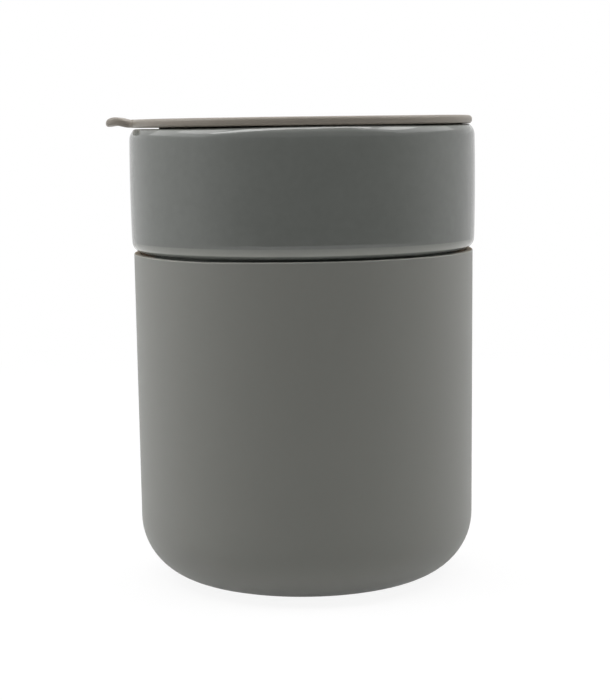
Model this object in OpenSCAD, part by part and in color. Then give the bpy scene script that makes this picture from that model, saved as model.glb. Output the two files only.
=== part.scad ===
// Soup mug: a stepped ceramic cup in a stretch sleeve, with a press-in lid and the gasket on its plug.
// Millimetres, +Z up. The origin is the centre of the base, on the table, and the lid's tab points to -X.

/* [Cup] */
// Widest diameter of the glazed band, at its middle
band_d = 100; // [90:0.5:112]
// Height of the rim above the table
rim_h = 131; // [122:0.5:150]
// Height of the step where the band begins, above the table
step_h = 95.6; // [80:0.2:100]
// How far the band swells from its edges to its middle, on the radius
band_swell = 0.25; // [0.05:0.05:1]
// How far the underside of the band rises from the wall to the band's edge
band_rise = 1.2; // [0.4:0.1:2.5]
// Radius of the band's rounded lower edge
band_foot_r = 3; // [1:0.1:5]
// Radius where the band's underside meets the wall
step_root_r = 0.4; // [0.1:0.1:1]
// Radius of the outer shoulder of the rim
shoulder_r = 2.4; // [1:0.1:2.6]
// Radius of the inner edge of the rim
rim_inner_r = 1.6; // [0.5:0.1:2]
// Thickness of the wall at the rim
rim_wall = 4.75; // [4:0.05:6]
// Thickness of the wall below the step
cup_wall = 4.4; // [3:0.1:6]
// Thickness of the cup's floor
cup_floor = 5; // [3:0.1:8]
// Radius between the inner wall and the floor
cup_corner_r = 13; // [6:0.5:20]
// Height of the bend where the inner wall widens to the mouth
bend_h = 15; // [8:0.5:18]
// Radius of that bend
bend_r = 60; // [20:1:90]
// Least straight length of the mouth below the lid's plug
mouth_room = 2; // [1:0.5:8]
// Height of the bare foot ring
foot_h = 1; // [0.5:0.1:2]
// Width of the foot ring
foot_w = 4; // [2:0.5:8]
// Radius on the edges of the foot ring
foot_edge_r = 0.3; // [0.1:0.1:0.5]

/* [Sleeve] */
// How far the sleeve's top edge lies inside the band's edge, on the radius
sleeve_setback = 0.35; // [0:0.05:1]
// How much the sleeve's radius shrinks from its top edge to its base
sleeve_taper = 0.5; // [0:0.1:2]
// Thickness of the sleeve's wall
sleeve_wall = 2; // [1.2:0.1:3]
// Thickness of the sleeve's floor
sleeve_floor = 2.4; // [1.2:0.1:4]
// Radius between the sleeve's wall and its underside
sleeve_corner_r = 18; // [8:0.5:24]
// Radius on both edges of the sleeve's lip
lip_r = 0.3; // [0.2:0.1:1]
// Gap between the sleeve's lip and the step
lip_gap = 0.25; // [0.1:0.05:1]
// Play between the sleeve and the cup's wall, on the radius
sleeve_play = 0.2; // [0.1:0.05:0.5]

/* [Lid] */
// How far the lid's edge lies inside the band's edge, on the radius
lid_setback = 0.5; // [0:0.05:1.5]
// Thickness of the lid's plate
lid_t = 2.35; // [1.8:0.05:4]
// Gap between the rim and the lid's plate
lid_gap = 0.45; // [0.2:0.05:1.5]
// Radius on the edges of the lid's plate
lid_edge_r = 1; // [0.3:0.1:1.1]
// Depth of the plug under the plate
plug_depth = 9.5; // [8:0.5:14]
// Thickness of the plug's wall
plug_wall = 3; // [2.4:0.1:5]
// Room between the plug and the mouth, on the radius
plug_play = 3.6; // [1:0.1:5]
// Radius on the plug's lower edges
plug_edge_r = 0.8; // [0.2:0.1:1]
// Radius where the plug's inside meets the plate
plug_root_r = 1; // [0.3:0.1:2]

/* [Tab] */
// How far the tab reaches past the lid's edge
tab_reach = 7.3; // [5:0.1:16]
// Width of the tab
tab_w = 18; // [12:0.5:40]
// How far the tab's top lies below the plate's top
tab_drop = 0.05; // [0.04:0.01:0.6]
// How far the tab's underside lies above the plate's underside
tab_lift = 0.05; // [0.04:0.01:0.4]
// Height of the wave along the tab, which begins at the lid's edge
tab_wave_h = 0.65; // [0.2:0.05:2]
// Length of the whole wave, of which the tab shows as much as it is long
tab_wave_len = 9.1; // [5:0.1:16]
// Radius of the tab's corners, seen from above
tab_corner_r = 6; // [2:0.1:9]
// Radius where the tab's sides run into the lid's edge
tab_blend_r = 2; // [1:0.5:10]
// Radius on the tab's edges
tab_edge_r = 0.85; // [0.3:0.05:1.2]

/* [Gasket] */
// Height of the gasket's band
gasket_h = 5; // [4:0.1:6]
// Depth of the gasket's groove in the plug
groove_depth = 1.2; // [0.6:0.1:1.6]
// How far the gasket's band stands out of its groove
gasket_stand = 0.3; // [0.1:0.1:0.6]
// Number of sealing lips
seal_count = 2; // [1:1:3]
// Thickness of a sealing lip at its root
seal_t = 0.9; // [0.5:0.1:1.2]
// How far a sealing lip slants up to its tip
seal_rise = 1; // [0:0.1:1.2]
// Radius on the edges of a sealing lip
seal_edge_r = 0.2; // [0.05:0.05:0.3]
// Gap between a sealing lip and the mouth, on the radius
seal_gap = 0.15; // [0.1:0.05:0.4]
// Gap between the gasket and its groove
seat_gap = 0.05; // [0.02:0.01:0.1]

/* [Hidden] */
// Facets of a full turn, and the largest step along an arc of an outline, in degrees
$fn = 180;
arc_step = 5;

// Radii and heights of the sleeve
band_edge_r = band_d / 2 - band_swell;
sleeve_h = step_h - lip_gap;
sleeve_top_r = band_edge_r - sleeve_setback;
sleeve_base_r = sleeve_top_r - sleeve_taper;
sleeve_inner_corner_r = sleeve_corner_r - sleeve_wall;

// Radii and heights of the cup
band_mid_h = (step_h + rim_h) / 2;
band_half_h = rim_h - band_mid_h;
mouth_r = band_edge_r - rim_wall;
cup_base_h = sleeve_floor + foot_h;
cup_floor_h = cup_base_h + cup_floor;
foot_r = cup_r(cup_base_h) - sleeve_corner_r;

// Radii and heights of the lid, its groove and the gasket. The cup's inner bend follows the step, clear of the plug.
lid_r = band_edge_r - lid_setback;
lid_under_h = rim_h + lid_gap;
lid_top_h = lid_under_h + lid_t;
plug_r = mouth_r - plug_play;
plug_inner_r = plug_r - plug_wall;
plug_low_h = lid_under_h - plug_depth;
bend_top_h = min(sleeve_h + bend_h, plug_low_h - mouth_room);
bend_low_h = bend_top_h - bend_h;
groove_r = plug_r - groove_depth;
groove_h = gasket_h + 2 * seat_gap;
groove_low_h = (plug_low_h + rim_h - groove_h) / 2;
gasket_low_h = groove_low_h + seat_gap;
gasket_r = plug_r + gasket_stand;
seal_r = mouth_r - seal_gap;

// The tab: its tip, the centre of the arc that blends its side into the lid, and its limited radii.
// The blend runs a little inside the lid's rounded edge, so that the tab grows out of the plate.
// The shares keep each arc within the room that it has.
sink_share = 0.75;
corner_share = 0.9;
edge_share = 0.48;
corner_edge_share = 0.8;
tab_sink = lid_edge_r * sink_share;
tab_tip = lid_r + tab_reach;
tab_t = lid_t - tab_drop - tab_lift;
tab_mid_h = lid_under_h + tab_lift + tab_t / 2;
blend_y = tab_w / 2 + tab_blend_r;
blend_x = -sqrt((lid_r - tab_sink + tab_blend_r) ^ 2 - blend_y ^ 2);
tab_corner = min(tab_corner_r, (tab_tip + blend_x) * corner_share, tab_w / 2 - tab_edge_r);
tab_edge = min(tab_edge_r, tab_t * edge_share, tab_corner * corner_edge_share);

// The curve of the band's swell covers this share of its height, in steps of this share
swell_span = 0.75;
swell_step = 0.25;

// Steps along each arc of the tab's side, along its straight stretch, and round half of its edge
tab_arc_steps = 8;
tab_straight_steps = 4;
tab_edge_steps = 4;

// Colours of the pieces
glaze = [0.36, 0.37, 0.36];
silicone = [0.40, 0.40, 0.38];
plastic = [0.47, 0.44, 0.41];
seal_grey = [0.30, 0.30, 0.29];

// Outer radius of the sleeve's wall at a height, and of the cup's wall inside it
function sleeve_r(h) = sleeve_base_r + sleeve_taper * h / sleeve_h;
function cup_r(h) = sleeve_r(h) - sleeve_wall - sleeve_play;

// Unit vector along v, and v turned by an angle
function unit(v) = v / norm(v);
function turned_by(v, a) = [v.x * cos(a) - v.y * sin(a), v.x * sin(a) + v.y * cos(a)];

// Outlines are closed lists of [radius, height, corner radius].
// Point i of an outline without its corner radius, counted round the outline
function at(outline, i) = let (p = outline[(i + len(outline)) % len(outline)]) [p.x, p.y];

// Half the angle inside corner i, and how far its arc runs along each side
function half_angle(outline, i) =
    acos(unit(at(outline, i - 1) - at(outline, i)) * unit(at(outline, i + 1) - at(outline, i))) / 2;
function run(outline, i) =
    let (k = (i + len(outline)) % len(outline))
    outline[k].z == 0 ? 0 : outline[k].z / tan(half_angle(outline, k));

// The arc that rounds corner i. Where two arcs are too long for the side between them, they share it.
function corner_arc(outline, i) =
    let (
        p = at(outline, i),
        u = unit(at(outline, i - 1) - p),
        v = unit(at(outline, i + 1) - p),
        half = half_angle(outline, i),
        share = min(1,
            norm(at(outline, i - 1) - p) / (run(outline, i) + run(outline, i - 1)),
            norm(at(outline, i + 1) - p) / (run(outline, i) + run(outline, i + 1))),
        r = outline[i].z * share,
        centre = p + unit(u + v) * r / sin(half),
        turn = sign(cross(u, v)) * (2 * half - 180),
        steps = max(2, ceil(abs(turn) / arc_step))
    )
    [for (k = [0:steps]) centre + turned_by(p + u * r / tan(half) - centre, turn * k / steps)];

// An outline with its corners rounded, and the solid that it makes when turned about Z
function rounded(outline) =
    [for (i = [0:len(outline) - 1]) each outline[i].z == 0 ? [at(outline, i)] : corner_arc(outline, i)];

module turned(outline) {
    rotate_extrude() polygon(rounded(outline));
}

// The cup: foot ring, wall, step, swelling band, rim, and an inner wall that widens to the mouth
module ceramic_cup() {
    band_side = [for (u = [-swell_span:swell_step:swell_span])
        [band_d / 2 - band_swell * u ^ 2, band_mid_h + u * band_half_h, 0]];
    color(glaze) turned(concat(
        [
            [0, cup_base_h, 0],
            [foot_r - foot_w, cup_base_h, foot_edge_r],
            [foot_r - foot_w, sleeve_floor, foot_edge_r],
            [foot_r, sleeve_floor, foot_edge_r],
            [foot_r, cup_base_h, foot_edge_r],
            [cup_r(cup_base_h), cup_base_h, sleeve_inner_corner_r],
            [cup_r(step_h), step_h, step_root_r],
            [band_edge_r, step_h + band_rise, band_foot_r]
        ],
        band_side,
        [
            [band_edge_r, rim_h, shoulder_r],
            [mouth_r, rim_h, rim_inner_r],
            [mouth_r, bend_top_h, bend_r],
            [cup_r(bend_low_h) - cup_wall, bend_low_h, bend_r],
            [cup_r(cup_floor_h) - cup_wall, cup_floor_h, cup_corner_r],
            [0, cup_floor_h, 0]
        ]
    ));
}

// The sleeve: one wall from lip to base, rounded under, with a closed flat floor
module silicone_sleeve() {
    color(silicone) turned([
        [0, 0, 0],
        [sleeve_base_r, 0, sleeve_corner_r],
        [sleeve_top_r, sleeve_h, lip_r],
        [sleeve_top_r - sleeve_wall, sleeve_h, lip_r],
        [sleeve_r(sleeve_floor) - sleeve_wall, sleeve_floor, sleeve_inner_corner_r],
        [0, sleeve_floor, 0]
    ]);
}

// The lid: a flat plate and a hollow plug with the gasket's groove, and the finger tab
module lid() {
    color(plastic) union() {
        turned([
            [0, lid_under_h, 0],
            [plug_inner_r, lid_under_h, plug_root_r],
            [plug_inner_r, plug_low_h, plug_edge_r],
            [plug_r, plug_low_h, plug_edge_r],
            [plug_r, groove_low_h, 0],
            [groove_r, groove_low_h, 0],
            [groove_r, groove_low_h + groove_h, 0],
            [plug_r, groove_low_h + groove_h, 0],
            [plug_r, lid_under_h, 0],
            [lid_r, lid_under_h, lid_edge_r],
            [lid_r, lid_top_h, lid_edge_r],
            [0, lid_top_h, 0]
        ]);
        tab();
    }
}

// How far the wave lifts the tab at x
function wave(x) =
    let (s = min(max(-x - lid_r, 0), tab_wave_len))
    tab_wave_h * (1 - cos(360 * s / tab_wave_len)) / 2;

// Points along an arc, each as [point, direction from the centre]
function spokes(centre, r, from, to, steps) =
    [for (k = [0:steps]) let (a = from + (to - from) * k / steps, d = [cos(a), sin(a)]) [centre + r * d, d]];

// One side of the tab seen from above, from the lid's edge to the tip, as [point, outward normal]
function tab_side() =
    let (to_lid = atan2(-blend_y, -blend_x), straight = blend_x + tab_tip - tab_corner)
    concat(
        [for (s = spokes([blend_x, blend_y], tab_blend_r, to_lid, -90, tab_arc_steps)) [s[0], -s[1]]],
        [for (k = [1:tab_straight_steps - 1])
            [[blend_x - straight * k / tab_straight_steps, tab_w / 2], [0, 1]]],
        spokes([tab_corner - tab_tip, tab_w / 2 - tab_corner], tab_corner, 90, 180, tab_arc_steps)
    );

// The tab's rounded edge from bottom to top, as [inset, height above the middle]
function tab_edge_profile() =
    [for (side = [-1, 1], s = spokes([0, 0], tab_edge, side < 0 ? -90 : 0, side < 0 ? 0 : 90, tab_edge_steps))
        [tab_edge - s[0].x, side * (tab_t / 2 - tab_edge) + s[0].y]];

// The finger tab: rings of points across it, from inside the plate to the tip, skinned with triangles
module tab() {
    side = tab_side();
    edge = tab_edge_profile();
    n = len(edge);
    size = 2 * n;
    right = [for (s = side) [for (e = edge)
        let (p = s[0] - e[0] * s[1]) [p.x, p.y, tab_mid_h + e[1] + wave(p.x)]]];
    rings = [for (r = right) concat(r, [for (k = [n - 1:-1:0]) [r[k].x, -r[k].y, r[k].z]])];
    last = (len(rings) - 1) * size;
    skin = [for (j = [0:len(rings) - 2], i = [0:size - 1])
        let (a = j * size + i, b = j * size + (i + 1) % size)
        each [[a, b, a + size], [b, b + size, a + size]]];
    caps = [for (k = [0:n - 2]) let (m = size - 1 - k)
        each [
            [k, m, k + 1], [k + 1, m, m - 1],
            [last + k, last + k + 1, last + m], [last + k + 1, last + m - 1, last + m]
        ]];
    polyhedron([for (r = rings) each r], concat(skin, caps));
}

// The gasket: a band that sits in the plug's groove, with slanted lips that reach for the mouth
module lid_gasket() {
    lips = [for (i = [0:seal_count - 1]) let (h = gasket_low_h + gasket_h * (i + 0.5) / seal_count)
        each [
            [gasket_r, h - seal_t / 2, seal_edge_r],
            [seal_r, h + seal_rise - seal_t / 4, seal_edge_r],
            [seal_r, h + seal_rise + seal_t / 4, seal_edge_r],
            [gasket_r, h + seal_t / 2, seal_edge_r]
        ]];
    color(seal_grey) turned(concat(
        [[groove_r + seat_gap, gasket_low_h, 0], [gasket_r, gasket_low_h, seal_edge_r]],
        lips,
        [[gasket_r, gasket_low_h + gasket_h, seal_edge_r], [groove_r + seat_gap, gasket_low_h + gasket_h, 0]]
    ));
}

ceramic_cup();
silicone_sleeve();
lid();
lid_gasket();
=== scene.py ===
import math

import bpy
from mathutils import Euler, Matrix, Vector, noise


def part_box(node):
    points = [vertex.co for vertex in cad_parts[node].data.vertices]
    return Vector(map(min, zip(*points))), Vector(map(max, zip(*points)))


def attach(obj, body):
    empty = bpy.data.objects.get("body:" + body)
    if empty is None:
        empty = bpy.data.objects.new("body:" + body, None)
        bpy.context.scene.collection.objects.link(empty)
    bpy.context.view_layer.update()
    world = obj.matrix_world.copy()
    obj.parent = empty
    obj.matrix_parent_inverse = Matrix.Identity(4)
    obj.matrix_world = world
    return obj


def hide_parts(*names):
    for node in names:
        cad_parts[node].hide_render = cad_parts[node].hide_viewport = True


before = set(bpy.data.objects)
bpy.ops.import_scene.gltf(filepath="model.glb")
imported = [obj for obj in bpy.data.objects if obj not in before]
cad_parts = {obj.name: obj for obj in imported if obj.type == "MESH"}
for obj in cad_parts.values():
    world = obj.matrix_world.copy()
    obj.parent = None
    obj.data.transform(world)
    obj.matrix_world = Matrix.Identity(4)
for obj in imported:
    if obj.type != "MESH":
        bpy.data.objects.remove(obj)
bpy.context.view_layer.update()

# A soup mug: a glazed cup in a stretch sleeve, closed by a press-in lid with a gasket on its plug.
# Sizes are in millimetres in the frame's axes. The tab points to -X, and the viewer stands at -Y.
# A wave along an edge is its azimuth from +X in degrees, its height, and how narrow it is.
MM = 0.001


def box_mm(node):
    low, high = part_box(node)
    return low / MM, high / MM


cup_low, cup_high = box_mm("ceramic_cup")
sleeve_high = box_mm("silicone_sleeve")[1]
lid_low, lid_high = box_mm("lid")
gasket_low, gasket_high = box_mm("lid_gasket")

# Sleeve
SLEEVE_TAPER = 0.5
SLEEVE_WALL = 2.0
SLEEVE_CORNER_R = 18.0
SLEEVE_PLAY = 0.2
LIP_R = 0.3
LIP_WAVES = ((-128, -0.25, 16),)
LIP_WAVE_H = 15.0
sleeve_h = sleeve_high.z
sleeve_top_r = sleeve_high.x
sleeve_base_r = sleeve_top_r - SLEEVE_TAPER
sleeve_floor_h = cup_low.z

# Painted shade, brown like the clay, on top of the sleeve's lip at both sides: how deep it goes, and how
# narrow it is
GAP_SHADE_DEPTH = 0.03
GAP_SHADE_NARROW = 14

# Cup
LIP_GAP = 0.25
BAND_SWELL = 0.25
BAND_RISE = 1.2
BAND_FOOT_R = 3.0
STEP_ROOT_R = 0.4
SHOULDER_R = 3.5
SHOULDER_H = 1.8
SHOULDER_SLANT = math.radians(35)
RIM_OUTER_R = 1.1
RIM_INNER_R = 1.6
RIM_WALL = 4.75
CUP_WALL = 4.4
CUP_FLOOR = 5.0
CUP_CORNER_R = 13.0
BEND_H = 15.0
BEND_R = 60.0
FOOT_H = 1.0
FOOT_W = 4.0
FOOT_EDGE_R = 0.3
band_r = cup_high.x
rim_h = cup_high.z
step_h = sleeve_h + LIP_GAP
band_edge_r = band_r - BAND_SWELL
mouth_r = band_edge_r - RIM_WALL
cup_base_h = sleeve_floor_h + FOOT_H
cup_floor_h = cup_base_h + CUP_FLOOR

# How the kiln leaves the cup: a band that is fuller in its middle and at its top, a slight wave of the
# surface, and an uneven rim
BAND_FULL_MID = 0.12
BAND_FULL_TOP = 0.2
GLAZE_WAVE = 0.03
GLAZE_WAVE_LEN = 22.0
RIM_WAVES = ((4, 0.4, 6), (-90, 0.17, 2), (-124, -0.22, 20), (-80, 0.12, 20), (180, 0.04, 4))

# Where the glaze ends, from the step upwards: at the front, at the sides, how narrow these are and how soft
BARE_FRONT = -0.6
BARE_SIDE = 0.3
BARE_NARROW = 8
BARE_SOFT = 0.1

# A height above the step that stands for the inside of the cup, where the glaze is whole
LEVEL_INSIDE = 20.0

# Lid, its plug and the groove for the gasket
LID_T = 2.35
LID_GAP = 0.45
LID_EDGE_R = 1.0
LID_WAVES = ((40, -0.22, 10), (-20, 0.1, 8))
PLUG_WALL = 3.0
PLUG_PLAY = 3.6
PLUG_EDGE_R = 0.8
PLUG_ROOT_R = 1.0
GROOVE_DEPTH = 1.2
GROOVE_EDGE_R = 0.15
SEAT_GAP = 0.05
lid_r = lid_high.x
lid_under_h = rim_h + LID_GAP
lid_top_h = lid_under_h + LID_T
plug_low_h = lid_low.z
plug_r = mouth_r - PLUG_PLAY
plug_inner_r = plug_r - PLUG_WALL
groove_r = plug_r - GROOVE_DEPTH

# Finger tab
TAB_W = 18.0
TAB_DROP = 0.05
TAB_LIFT = 0.05
TAB_ROOT_RUN = 1.0
TAB_WAVE_H = 0.65
TAB_CREST_H = 0.8
TAB_WAVE_LEN = 8.6
TAB_CORNER_R = 6.0
TAB_BLEND_R = 2.0
tab_tip = -lid_low.x

# Gasket
GASKET_STAND = 0.3
SEAL_COUNT = 2
SEAL_T = 0.9
SEAL_RISE = 1.0
SEAL_EDGE_R = 0.2
gasket_r = plug_r + GASKET_STAND
gasket_h = gasket_high.z - gasket_low.z
seal_r = gasket_high.x

# Fineness of the meshes: points in a full turn of a piece and of the set, the step along an arc and the
# longest straight step
TURN_POINTS = 288
SET_POINTS = 96
ARC_STEP = math.radians(5)
RUN_STEP = 1.6

# Steps from the middle of the band up to the rim, of which the last two are left to the rounded edges
BAND_STEPS = 8
BAND_EDGE_STEPS = 2

# Steps round the tab: along its blend, its side, its corner and half of its tip
BLEND_STEPS = 12
SIDE_STEPS = 4
CORNER_STEPS = 16
TIP_STEPS = 10

# Rings on each face of the lid's overhang, on each half of its rounded edge, and on its middle
FACE_RINGS = 20
EDGE_RINGS = 8
MIDDLE_RINGS = 24


# Outlines

def sleeve_r(h):
    return sleeve_base_r + SLEEVE_TAPER * h / sleeve_h


def cup_r(h):
    return sleeve_r(h) - SLEEVE_WALL - SLEEVE_PLAY


def corner_arc(before, corner, after, radius):
    """Points of the arc that rounds a corner between two neighbours."""
    to_before = (before - corner).normalized()
    to_after = (after - corner).normalized()
    half = to_before.angle(to_after) / 2
    centre = corner + (to_before + to_after).normalized() * radius / math.sin(half)
    spoke = corner + to_before * radius / math.tan(half) - centre
    across = Vector((-spoke.y, spoke.x))
    sweep = math.copysign(math.pi - 2 * half, to_after.cross(to_before))
    steps = max(3, math.ceil(abs(sweep) / ARC_STEP))
    arc = []
    for k in range(steps + 1):
        turn = sweep * k / steps
        arc.append(centre + spoke * math.cos(turn) + across * math.sin(turn))
    return arc


def rounded(corners):
    """An outline through corners given as (radius, height, corner radius). Straight runs get short steps."""
    places = [Vector(c[:2]) for c in corners]
    bent = []
    for i, (place, corner) in enumerate(zip(places, corners)):
        if corner[2]:
            bent += corner_arc(places[i - 1], place, places[(i + 1) % len(places)], corner[2])
        else:
            bent.append(place)
    outline = [bent[0]]
    for here, there in zip(bent, bent[1:]):
        steps = math.ceil((there - here).length / RUN_STEP)
        outline += [here.lerp(there, k / steps) for k in range(1, steps + 1)]
    return outline


# Meshes

def circle(radius, height, angles):
    """A ring of points, or one point where the radius is nought."""
    if math.isclose(radius, 0, abs_tol=1e-6):
        return [Vector((0, 0, height))]
    return [Vector((radius * math.cos(a), radius * math.sin(a), height)) for a in angles]


def turn_angles(count):
    return [2 * math.pi * k / count for k in range(count)]


def skin(name, rings, closed=False):
    """A smooth mesh object through rings of points. A ring of one point closes an end."""
    starts = []
    points = []
    for ring in rings:
        starts.append(len(points))
        points += [p * MM for p in ring]
    pairs = list(zip(range(len(rings)), range(1, len(rings))))
    if closed:
        pairs.append((len(rings) - 1, 0))
    faces = []
    for a, b in pairs:
        count = max(len(rings[a]), len(rings[b]))
        for i in range(count):
            j = (i + 1) % count
            low = (starts[a] + i, starts[a] + j) if len(rings[a]) > 1 else (starts[a],)
            high = (starts[b] + j, starts[b] + i) if len(rings[b]) > 1 else (starts[b],)
            faces.append(low + high)
    mesh = bpy.data.meshes.new(name)
    mesh.from_pydata(points, [], faces)
    mesh.shade_smooth()
    made = bpy.data.objects.new(name, mesh)
    bpy.context.scene.collection.objects.link(made)
    return made


def turned(name, outline, closed=False):
    angles = turn_angles(TURN_POINTS)
    return skin(name, [circle(p.x, p.y, angles) for p in outline], closed)


def point_value(piece, name, value_at):
    """Stores a number at every point of a piece, worked out from its place in millimetres."""
    layer = piece.data.attributes.new(name, "FLOAT", "POINT")
    layer.data.foreach_set("value", [value_at(v.co / MM) for v in piece.data.vertices])


def smooth_step(low, high, x):
    t = min(max((x - low) / (high - low), 0), 1)
    return t * t * (3 - 2 * t)


def sideness(place):
    """One at the left and the right of the axis, and nought at the front and the back."""
    return abs(place.x) / place.xy.length if place.xy.length else 0


def uneven(piece, depth, length):
    """Moves the points of a piece in and out a little, as a hand or the kiln leaves them."""
    for v in piece.data.vertices:
        out = Vector((v.co.x, v.co.y, 0))
        if out.length > MM:
            v.co += out.normalized() * depth * MM * noise.noise(v.co / (length * MM))


def wave_h(waves, place):
    """Height that waves round the axis add up to at the azimuth of a place."""
    turn = math.atan2(place.y, place.x)
    total = 0
    for azimuth, height, narrow in waves:
        total += height * max(math.cos(turn - math.radians(azimuth)), 0) ** narrow
    return total


def wavy(piece, waves, still_h, top_h):
    """Raises and lowers the upper edge of a piece in waves that fade out down to a height."""
    for v in piece.data.vertices:
        v.co.z += wave_h(waves, v.co) * MM * smooth_step(still_h, top_h, v.co.z / MM)


# Pieces

def band_side():
    """The swell of the glazed band between its rounded edges."""
    mid_h = (step_h + rim_h) / 2
    half = rim_h - mid_h
    count = BAND_STEPS - BAND_EDGE_STEPS
    side = []
    for k in range(-count, count + 1):
        u = k / BAND_STEPS
        full = BAND_FULL_MID + (BAND_FULL_TOP - BAND_FULL_MID) * u
        side.append((band_r + full - BAND_SWELL * u * u, mid_h + u * half, 0))
    return side


def cup_outline():
    foot_r = cup_r(cup_base_h) - SLEEVE_CORNER_R
    shoulder_r = band_edge_r + BAND_FULL_TOP
    bend_low_h = sleeve_h
    return rounded([
        (0, cup_base_h, 0),
        (foot_r - FOOT_W, cup_base_h, FOOT_EDGE_R),
        (foot_r - FOOT_W, sleeve_floor_h, FOOT_EDGE_R),
        (foot_r, sleeve_floor_h, FOOT_EDGE_R),
        (foot_r, cup_base_h, FOOT_EDGE_R),
        (cup_r(cup_base_h), cup_base_h, SLEEVE_CORNER_R - SLEEVE_WALL),
        (cup_r(step_h), step_h, STEP_ROOT_R),
        (band_edge_r, step_h + BAND_RISE, BAND_FOOT_R),
        *band_side(),
        (shoulder_r, rim_h - SHOULDER_H, SHOULDER_R),
        (shoulder_r - SHOULDER_H * math.tan(SHOULDER_SLANT), rim_h, RIM_OUTER_R),
        (mouth_r, rim_h, RIM_INNER_R),
        (mouth_r, bend_low_h + BEND_H, BEND_R),
        (cup_r(bend_low_h) - CUP_WALL, bend_low_h, BEND_R),
        (cup_r(cup_floor_h) - CUP_WALL, cup_floor_h, CUP_CORNER_R),
        (0, cup_floor_h, 0),
    ])


def make_cup():
    cup = turned("cup", cup_outline())
    wall_mid_r = cup_r(step_h) - CUP_WALL / 2
    corner_r = SLEEVE_CORNER_R - SLEEVE_WALL
    corner_h = cup_base_h + corner_r

    def outside(p):
        if p.z > corner_h:
            return p.xy.length > wall_mid_r
        across = max(p.xy.length - cup_r(cup_base_h) + corner_r, 0)
        return math.hypot(across, corner_h - p.z) > corner_r - CUP_WALL / 2

    def bare(p):
        line_h = step_h + BARE_FRONT + (BARE_SIDE - BARE_FRONT) * sideness(p) ** BARE_NARROW
        return smooth_step(line_h + BARE_SOFT, line_h - BARE_SOFT, p.z) if outside(p) else 0

    def level(p):
        return p.z - step_h if outside(p) else LEVEL_INSIDE

    point_value(cup, "bare", bare)
    point_value(cup, "level", level)
    uneven(cup, GLAZE_WAVE, GLAZE_WAVE_LEN)
    wavy(cup, RIM_WAVES, step_h, rim_h)
    return cup


def make_sleeve():
    sleeve = turned("sleeve", rounded([
        (0, 0, 0),
        (sleeve_base_r, 0, SLEEVE_CORNER_R),
        (sleeve_top_r, sleeve_h, LIP_R),
        (sleeve_top_r - SLEEVE_WALL, sleeve_h, LIP_R),
        (sleeve_r(sleeve_floor_h) - SLEEVE_WALL, sleeve_floor_h, SLEEVE_CORNER_R - SLEEVE_WALL),
        (0, sleeve_floor_h, 0),
    ]))

    # Painted shade, brown like the clay, on the lip's top at both sides
    def gap_shade(p):
        on_top = p.z > sleeve_h - GAP_SHADE_DEPTH
        return sideness(p) ** GAP_SHADE_NARROW if on_top else 0

    # Height up the lip's bend, where a painted highlight grows along its edge
    point_value(sleeve, "lip", lambda p: p.z - sleeve_h + LIP_R)
    point_value(sleeve, "gap_shade", gap_shade)
    wavy(sleeve, LIP_WAVES, sleeve_h - LIP_WAVE_H, sleeve_h)
    return sleeve


def arc_points(centre, radius, start, end, steps, outward=1):
    """Points along an arc as (point, outward normal), without the first one."""
    points = []
    for k in range(1, steps + 1):
        a = start + (end - start) * k / steps
        spoke = Vector((math.cos(a), math.sin(a)))
        points.append((Vector(centre) + spoke * radius, spoke * outward))
    return points


def line_points(start, end, normal, steps):
    """Points along a straight line as (point, outward normal), without the first one."""
    return [(start.lerp(end, k / steps), Vector(normal)) for k in range(1, steps + 1)]


def lid_contour():
    """The lid from above, as (point, outward normal) round it, and the same points' angles on a circle."""
    blend_y = TAB_W / 2 + TAB_BLEND_R
    blend_x = -math.sqrt((lid_r + TAB_BLEND_R) ** 2 - blend_y ** 2)
    meet = math.atan2(blend_y, blend_x)
    corner = Vector((TAB_CORNER_R - tab_tip, TAB_W / 2 - TAB_CORNER_R))
    side = Vector((blend_x, TAB_W / 2))
    side_end = Vector((corner.x, TAB_W / 2))
    tip = Vector((-tab_tip, corner.y))
    tip_mid = Vector((-tab_tip, 0))
    plate = arc_points((0, 0), lid_r, 0, meet, TURN_POINTS // 2)
    tab = arc_points((blend_x, blend_y), TAB_BLEND_R, meet - math.pi, -math.pi / 2, BLEND_STEPS, -1)
    tab += line_points(side, side_end, (0, 1), SIDE_STEPS)
    tab += arc_points(corner, TAB_CORNER_R, math.pi / 2, math.pi, CORNER_STEPS)
    tab += line_points(tip, tip_mid, (-1, 0), TIP_STEPS)
    half = plate + tab
    angles = [meet * k / len(plate) for k in range(1, len(plate) + 1)]
    angles += [meet + (math.pi - meet) * k / len(tab) for k in range(1, len(tab) + 1)]
    mirrored = [(Vector((p.x, -p.y)), Vector((n.x, -n.y))) for p, n in reversed(half[:-1])]
    contour = half + mirrored + [(Vector((lid_r, 0)), Vector((1, 0)))]
    angles += [2 * math.pi - a for a in reversed(angles[:-1])] + [2 * math.pi]
    return contour, angles


def lid_face_h(x, side):
    """Height of the lid's underside (side -1) or top (side 1). The tab is a little thinner, and wavy."""
    root = smooth_step(lid_r - TAB_ROOT_RUN, lid_r, -x)
    flat = lid_top_h - TAB_DROP * root if side > 0 else lid_under_h + TAB_LIFT * root
    s = min(max(-x - lid_r, 0), TAB_WAVE_LEN)
    crest = TAB_CREST_H if side > 0 else TAB_WAVE_H
    return flat + crest * (1 - math.cos(2 * math.pi * s / TAB_WAVE_LEN)) / 2


def plug_outline():
    groove_low_h = gasket_low.z - SEAT_GAP
    groove_high_h = gasket_high.z + SEAT_GAP
    return rounded([
        (0, lid_under_h, 0),
        (plug_inner_r, lid_under_h, PLUG_ROOT_R),
        (plug_inner_r, plug_low_h, PLUG_EDGE_R),
        (plug_r, plug_low_h, PLUG_EDGE_R),
        (plug_r, groove_low_h, GROOVE_EDGE_R),
        (groove_r, groove_low_h, GROOVE_EDGE_R),
        (groove_r, groove_high_h, GROOVE_EDGE_R),
        (plug_r, groove_high_h, GROOVE_EDGE_R),
        (plug_r, lid_under_h, 0),
    ])


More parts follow.
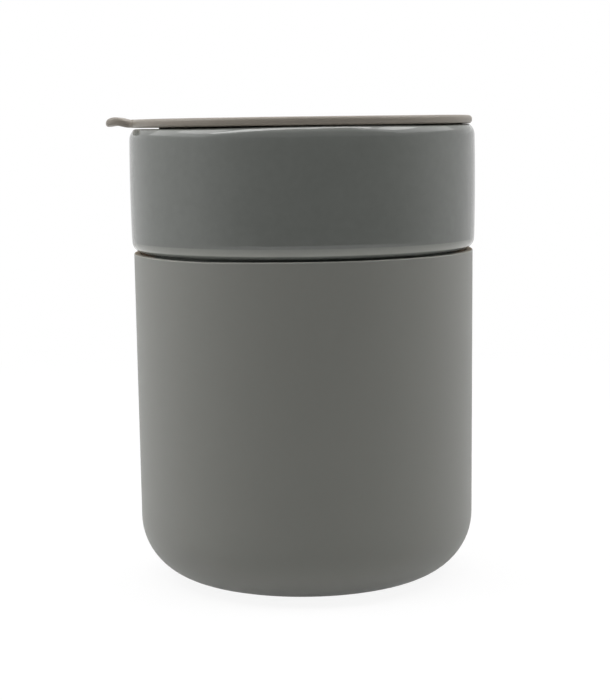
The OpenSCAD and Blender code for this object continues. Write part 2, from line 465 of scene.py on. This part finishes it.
def make_lid():
    contour, angles = lid_contour()
    rim_circle = circle(plug_r, 0, angles)

    def edge_ring(side, turn):
        """A ring round the lid's rounded edge, a turn above or below the level."""
        inset = LID_EDGE_R * (1 - math.cos(turn))
        depth = LID_EDGE_R * (1 - abs(math.sin(turn)))
        flat = [p - n * inset for p, n in contour]
        return [Vector((p.x, p.y, lid_face_h(p.x, side) - side * depth)) for p in flat]

    def face_ring(side, share):
        """A ring on the underside or top, part of the way from the plug's circle to the rounded edge."""
        edge = [p - n * LID_EDGE_R for p, n in contour]
        mixed = [inner.xy.lerp(outer, share) for inner, outer in zip(rim_circle, edge)]
        return [Vector((p.x, p.y, lid_face_h(p.x, side))) for p in mixed]

    shares = [k / FACE_RINGS for k in range(1, FACE_RINGS)]
    turns = [math.pi / 2 * k / EDGE_RINGS for k in range(EDGE_RINGS + 1)]
    middle = [plug_r * (1 - k / MIDDLE_RINGS) for k in range(MIDDLE_RINGS + 1)]
    rings = [circle(p.x, p.y, angles) for p in plug_outline()]
    rings += [face_ring(-1, s) for s in shares]
    rings += [edge_ring(-1, a) for a in reversed(turns)]
    rings += [edge_ring(1, a) for a in turns]
    rings += [face_ring(1, s) for s in reversed(shares)]
    rings += [circle(r, lid_top_h, angles) for r in middle]
    lid = skin("lid_plate", rings)
    for v in lid.data.vertices:
        out = smooth_step(plug_r, lid_r, v.co.xy.length / MM)
        v.co.z += out * wave_h(LID_WAVES, v.co) * MM
    return lid


def make_gasket():
    lips = []
    for i in range(SEAL_COUNT):
        h = gasket_low.z + gasket_h * (i + 0.5) / SEAL_COUNT
        lips += [
            (gasket_r, h - SEAL_T / 2, SEAL_EDGE_R),
            (seal_r, h + SEAL_RISE - SEAL_T / 4, SEAL_EDGE_R),
            (seal_r, h + SEAL_RISE + SEAL_T / 4, SEAL_EDGE_R),
            (gasket_r, h + SEAL_T / 2, SEAL_EDGE_R),
        ]
    inner_r = groove_r + SEAT_GAP
    return turned("gasket", rounded([
        (inner_r, gasket_low.z, SEAL_EDGE_R),
        (gasket_r, gasket_low.z, SEAL_EDGE_R),
        *lips,
        (gasket_r, gasket_high.z, SEAL_EDGE_R),
        (inner_r, gasket_high.z, SEAL_EDGE_R),
    ]), closed=True)


# Shader nodes

def fill(tree, socket, value):
    """Sets an input to a value, or links it from another node's output."""
    if isinstance(value, bpy.types.NodeSocket):
        tree.links.new(value, socket)
    else:
        socket.default_value = value


def add(tree, kind, inputs=None, **settings):
    """A shader node. Its inputs are values, or sockets to link from, by input name or number."""
    made = tree.nodes.new("ShaderNode" + kind)
    for key, value in settings.items():
        setattr(made, key, value)
    for key, value in (inputs or {}).items():
        fill(tree, made.inputs[key], value)
    return made


def empty_material(name):
    made = bpy.data.materials.new(name)
    made.use_nodes = True
    made.node_tree.nodes.clear()
    return made, made.node_tree


def finish_material(tree, shader):
    add(tree, "OutputMaterial", {"Surface": shader.outputs[0]})


def grain(tree, place, per_metre, detail=2.0):
    return add(tree, "TexNoise", {"Vector": place, "Scale": per_metre, "Detail": detail}).outputs["Fac"]


def ramp(tree, value, start, end, low, high, **settings):
    """Carries a value that runs from start to end over to a range from low to high."""
    return add(tree, "MapRange", {0: value, 1: start, 2: end, 3: low, 4: high}, **settings).outputs[0]


def spread(tree, value, low, high):
    """Carries a noise value around its middle over to a range."""
    return ramp(tree, value, 0.3, 0.7, low, high)


def mix_colour(tree, share, a, b):
    made = add(tree, "Mix", {0: share, 6: a, 7: b}, data_type="RGBA")
    return made.outputs[2]


def bump(tree, height, depth, strength):
    """A surface relief from a noise value, with its depth in millimetres."""
    return add(tree, "Bump", {"Strength": strength, "Distance": depth * MM, "Height": height}).outputs[0]


def rgba(colour, level=1.0):
    return (*[c * level for c in colour], 1.0)


def object_place(tree):
    return add(tree, "TexCoord").outputs["Object"]


def stored(tree, name):
    return add(tree, "Attribute", attribute_name=name).outputs["Fac"]


def math_node(tree, operation, a, b):
    return add(tree, "Math", {0: a, 1: b}, operation=operation).outputs[0]


# Materials
GLAZE = (0.175, 0.184, 0.171)
# Glaze run thin, paler also as painted light at the band's foot and at the rim
GLAZE_THIN_AND_LIT = (0.355, 0.36, 0.322)
CLAY = (0.30, 0.20, 0.13)
# Painted shade on top of the sleeve's lip, brown like the clay
GAP_SHADE_COLOUR = (0.21, 0.125, 0.03)
SILICONE = (0.174, 0.176, 0.156)
PLASTIC = (0.265, 0.235, 0.197)
SEAL = (0.085, 0.084, 0.08)

# Grains of the glaze, the clay and the edge between them, as a count in a metre
GLAZE_CLOUDS = 28.0
GLAZE_SPECKS = 420.0
GLAZE_RIPPLES = 130.0
CLAY_GRIT = 1600.0
EDGE_WANDER = 260.0

# Paler glaze above the foot of the band, where it runs thin, and partly painted light from the floor on this
# lower rounding: where it begins, is thinnest and ends, from the step upwards, how soft its beginning and
# end are, how much of it comes at once, and how much there is
THIN_TOP = 3.3
THIN_FULL = 1.5
THIN_LOW = 1.2
THIN_TOP_SOFT = 0.3
THIN_LOW_SOFT = 0.1
THIN_AT_ONCE = 0.35
THIN_SHARE = 0.8

# Paler glaze at the rim, thin glaze and a painted highlight under the lid: where it begins and is full, from
# the rim downwards, and how much there is
RIM_THIN_START = 1.8
RIM_THIN_FULL = 0.4
RIM_THIN_SHARE = 0.28

# A painted highlight along the edge of the sleeve's lip: how far up its bend it grows, and how much paler it
# is
HIGHLIGHT_H = 0.12
HIGHLIGHT_LEVEL = 1.7


def thin_and_lit_share(tree):
    """How far the glaze is paled at the foot of the band and at the rim: where it runs thin, and partly
    painted light.
    """
    level = stored(tree, "level")
    rim_level = rim_h - step_h
    edge = ramp(tree, level, THIN_TOP, THIN_TOP - THIN_TOP_SOFT, 0.0, THIN_AT_ONCE)
    fall = ramp(tree, level, THIN_TOP, THIN_FULL, 0.0, 1 - THIN_AT_ONCE)
    cut = ramp(tree, level, THIN_LOW - THIN_LOW_SOFT, THIN_LOW + THIN_LOW_SOFT, 0.0, THIN_SHARE)
    at_foot = math_node(tree, "MULTIPLY", math_node(tree, "ADD", edge, fall), cut)
    at_rim = ramp(tree, level, rim_level - RIM_THIN_START, rim_level - RIM_THIN_FULL, 0.0, RIM_THIN_SHARE)
    return math_node(tree, "MAXIMUM", at_foot, at_rim)


def glaze_shader(tree, place):
    clouds = spread(tree, grain(tree, place, GLAZE_CLOUDS), 0.0, 1.0)
    specks = spread(tree, grain(tree, place, GLAZE_SPECKS, 4.0), 0.0, 1.0)
    tone = mix_colour(tree, clouds, rgba(GLAZE, 0.95), rgba(GLAZE, 1.05))
    tone = mix_colour(tree, math_node(tree, "MULTIPLY", specks, 0.25), tone, rgba(GLAZE, 1.25))
    # Paler thin glaze, partly painted light
    tone = mix_colour(tree, thin_and_lit_share(tree), tone, rgba(GLAZE_THIN_AND_LIT))
    return add(tree, "BsdfPrincipled", {
        "Base Color": tone,
        "Roughness": spread(tree, specks, 0.05, 0.09),
        "IOR": 1.5,
        "Normal": bump(tree, grain(tree, place, GLAZE_RIPPLES, 1.0), depth=0.1, strength=0.12),
    })


def clay_shader(tree, place):
    grit = grain(tree, place, CLAY_GRIT, 5.0)
    return add(tree, "BsdfPrincipled", {
        "Base Color": mix_colour(tree, spread(tree, grit, 0.0, 1.0), rgba(CLAY, 0.8), rgba(CLAY, 1.15)),
        "Roughness": 0.85,
        "Normal": bump(tree, grit, depth=0.2, strength=0.5),
    })


def stoneware_material():
    """Grey glaze down to a line that wanders, and bare clay below it."""
    made, tree = empty_material("grey_glaze")
    place = object_place(tree)
    glaze = glaze_shader(tree, place)
    clay = clay_shader(tree, place)
    wander = spread(tree, grain(tree, place, EDGE_WANDER, 3.0), -0.35, 0.35)
    bare = ramp(tree, math_node(tree, "ADD", stored(tree, "bare"), wander), 0.42, 0.58, 0.0, 1.0)
    both = add(tree, "MixShader", {0: bare, 1: glaze.outputs[0], 2: clay.outputs[0]})
    finish_material(tree, both)
    return made


def lip_painted_light(tree, tone):
    """The painted highlight along the edge of the sleeve's lip, and painted shade, brown like the clay, on
    its top at both sides.
    """
    highlight = ramp(tree, stored(tree, "lip"), 0.0, HIGHLIGHT_H, 0.0, 1.0)
    tone = mix_colour(tree, highlight, tone, rgba(SILICONE, HIGHLIGHT_LEVEL))
    return mix_colour(tree, stored(tree, "gap_shade"), tone, rgba(GAP_SHADE_COLOUR))


def soft_material(name, colour, roughness, grain_size, sheen=0.0, painted_light=None):
    """Moulded silicone or plastic: an even colour with a fine grain, its size in millimetres."""
    made, tree = empty_material(name)
    place = object_place(tree)
    broad = spread(tree, grain(tree, place, 18.0, 3.0), 0.0, 1.0)
    fine = grain(tree, place, 1 / (grain_size * MM), 3.0)
    tone = mix_colour(tree, broad, rgba(colour, 0.975), rgba(colour, 1.025))
    tone = mix_colour(tree, spread(tree, fine, 0.0, 0.3), tone, rgba(colour, 1.12))
    if painted_light:
        tone = painted_light(tree, tone)
    shader = add(tree, "BsdfPrincipled", {
        "Base Color": tone,
        "Roughness": spread(tree, fine, roughness - 0.05, roughness + 0.05),
        "IOR": 1.42,
        "Sheen Weight": sheen,
        "Sheen Roughness": 0.7,
        "Normal": bump(tree, fine, depth=0.03, strength=0.25),
    })
    finish_material(tree, shader)
    return made


def dress(piece, material, body, node):
    piece.data.materials.append(material)
    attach(piece, body)
    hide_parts(node)


sleeve_silicone = soft_material(
    "sleeve_silicone", SILICONE, roughness=0.6, grain_size=0.35, sheen=0.3, painted_light=lip_painted_light)
lid_plastic = soft_material("lid_plastic", PLASTIC, roughness=0.42, grain_size=0.3)
gasket_silicone = soft_material("gasket_silicone", SEAL, roughness=0.5, grain_size=0.4, sheen=0.1)
dress(make_cup(), stoneware_material(), "cup_body", "ceramic_cup")
dress(make_sleeve(), sleeve_silicone, "sleeve_body", "silicone_sleeve")
dress(make_lid(), lid_plastic, "lid_body", "lid")
dress(make_gasket(), gasket_silicone, "lid_body", "lid_gasket")


# Studio, in metres
WHITE = (1.0, 1.0, 1.0, 1.0)
AMBIENT = 0.11
FLOOR_COLOUR = 0.76
FLOOR_SHADE = 0.12
FLOOR_GLOW = 0.9
FLOOR_R = 1.5
FLOOR_DROP = 0.05 * MM
FLOOR_FADE_START = 0.12
FLOOR_FADE_END = 0.5

# The screens' turn about the axis, and where they are dark and pale, as shares of their radius
SCREEN_TURN = math.radians(12)
SCREEN_DARK_Y = -0.95
SCREEN_PALE_Y = 0.05

LIGHT_AIM = Vector((0, 0, 0.08))
LIGHT_DISTANCE = 0.8

# Camera, in millimetres and degrees
LENS = 89.9
CAMERA_PLACE = (0.08, -512.27, 130.07)
CAMERA_PITCH = 7.156
CAMERA_ROLL = -0.75


def seen_share(tree):
    """One for rays that show the background: from the camera, in a reflection or through glass."""
    path = add(tree, "LightPath").outputs
    share = math_node(tree, "MAXIMUM", path["Is Camera Ray"], path["Is Glossy Ray"])
    return math_node(tree, "MAXIMUM", share, path["Is Transmission Ray"])


def make_world():
    world = bpy.data.worlds.new("studio")
    world.use_nodes = True
    tree = world.node_tree
    tree.nodes.clear()
    backdrop = add(tree, "Background", {"Color": WHITE, "Strength": 1.0})
    ambient = add(tree, "Background", {"Color": WHITE, "Strength": AMBIENT})
    both = add(tree, "MixShader", {0: seen_share(tree), 1: ambient.outputs[0], 2: backdrop.outputs[0]})
    add(tree, "OutputWorld", {"Surface": both.outputs[0]})
    bpy.context.scene.world = world


def set_rings(name, sizes):
    """A mesh for the set through level circles, each given as (radius, height) in metres."""
    angles = turn_angles(SET_POINTS)
    return skin(name, [circle(r / MM, h / MM, angles) for r, h in sizes])


def make_floor():
    """A pale round floor. Away from the mug it runs into the white of the background."""
    made, tree = empty_material("pale_floor")
    lit = add(tree, "BsdfDiffuse", {"Color": rgba(WHITE[:3], FLOOR_COLOUR)})
    shade = add(tree, "BsdfDiffuse", {"Color": rgba(WHITE[:3], FLOOR_SHADE)})
    glow = add(tree, "Emission", {"Color": WHITE, "Strength": FLOOR_GLOW})
    far_glow = add(tree, "Emission", {"Color": WHITE, "Strength": 1.0})
    near = add(tree, "AddShader", {0: shade.outputs[0], 1: glow.outputs[0]})
    away = add(tree, "VectorMath", {0: object_place(tree)}, operation="LENGTH").outputs["Value"]
    fade = ramp(tree, away, FLOOR_FADE_START, FLOOR_FADE_END, 0.0, 1.0)
    seen = add(tree, "MixShader", {0: fade, 1: near.outputs[0], 2: far_glow.outputs[0]})
    both = add(tree, "MixShader", {0: seen_share(tree), 1: lit.outputs[0], 2: seen.outputs[0]})
    finish_material(tree, both)
    floor = set_rings("floor", [(r, -FLOOR_DROP) for r in (FLOOR_R, FLOOR_R / 2, 0)])
    floor.data.materials.append(made)


def make_screen(name, radius, low, high, dark, pale):
    """A screen round the set, dark behind the viewer and pale behind the mug. The camera doesn't see it."""
    made, tree = empty_material(name)
    place = add(tree, "SeparateXYZ", {0: object_place(tree)})
    dark_y = SCREEN_DARK_Y * radius
    pale_y = SCREEN_PALE_Y * radius
    tone = ramp(tree, place.outputs["Y"], dark_y, pale_y, dark, pale, interpolation_type="SMOOTHSTEP")
    finish_material(tree, add(tree, "Emission", {"Color": WHITE, "Strength": tone}))
    screen = set_rings(name, [(radius, high), (radius, low)])
    screen.data.materials.append(made)
    screen.rotation_euler.z = SCREEN_TURN
    screen.visible_camera = False
    return screen


def lamp_turn(azimuth, elevation):
    """The turn from the viewer's side to a lamp, with the azimuth counted to the right, in degrees."""
    return Euler((math.radians(-elevation), 0, math.radians(azimuth))).to_matrix()


def lamp_place(azimuth, elevation):
    return LIGHT_AIM + lamp_turn(azimuth, elevation) @ Vector((0, -LIGHT_DISTANCE, 0))


def area_lamp(name, place, along, width, height, radiance):
    """A rectangular lamp that faces the mug. Its power follows from how bright its face is."""
    away = (place - LIGHT_AIM).normalized()
    data = bpy.data.lights.new(name, "AREA")
    data.shape = "RECTANGLE"
    data.size = width
    data.size_y = height
    data.energy = radiance * math.pi * width * height
    lamp = bpy.data.objects.new(name, data)
    lamp.location = place
    lamp.rotation_euler = Matrix((along, away.cross(along), away)).transposed().to_euler()
    lamp.visible_camera = False
    bpy.context.scene.collection.objects.link(lamp)


def softbox(name, azimuth, elevation, width, height, radiance):
    along = lamp_turn(azimuth, elevation) @ Vector((1, 0, 0))
    area_lamp(name, lamp_place(azimuth, elevation), along, width, height, radiance)


def bar(name, start, end, height, radiance):
    """A long narrow lamp between two places, each an azimuth and an elevation."""
    start_place = lamp_place(*start)
    end_place = lamp_place(*end)
    run = end_place - start_place
    area_lamp(name, (start_place + end_place) / 2, run.normalized(), run.length, height, radiance)


def make_camera():
    """The photograph's viewpoint: level with the lid, looking slightly down, and rolled a little."""
    data = bpy.data.cameras.new("camera")
    data.sensor_fit = "AUTO"
    data.sensor_width = 36.0
    data.lens = LENS
    camera = bpy.data.objects.new("camera", data)
    camera.location = Vector(CAMERA_PLACE) * MM
    tilt = Euler((math.radians(90 - CAMERA_PITCH), 0, 0)).to_matrix()
    roll = Euler((0, 0, math.radians(CAMERA_ROLL))).to_matrix()
    camera.rotation_euler = (tilt @ roll).to_euler()
    bpy.context.scene.collection.objects.link(camera)
    bpy.context.scene.camera = camera


make_world()
make_floor()
make_screen("low_screen", radius=0.7, low=-FLOOR_DROP, high=0.2, dark=0.02, pale=0.82)
high_screen = make_screen("high_screen", radius=1.0, low=0.28, high=1.5, dark=0.35, pale=0.8)
high_screen.visible_diffuse = False
high_screen.visible_shadow = False
softbox("left", azimuth=-96, elevation=42, width=0.85, height=0.55, radiance=1.4)
softbox("left_high", azimuth=-95, elevation=51, width=0.3, height=0.26, radiance=2.6)
softbox("right", azimuth=98, elevation=46, width=0.85, height=0.55, radiance=1.45)
softbox("right_high", azimuth=90, elevation=52, width=0.3, height=0.15, radiance=4.4)
bar("front_left", start=(-74, 45), end=(5, 71), height=0.1, radiance=7.5)
bar("front_right", start=(4, 70), end=(73, 60), height=0.1, radiance=7.5)
softbox("back", azimuth=180, elevation=60, width=0.6, height=0.3, radiance=4.2)
make_camera()
bpy.context.scene.view_settings.view_transform = "Standard"
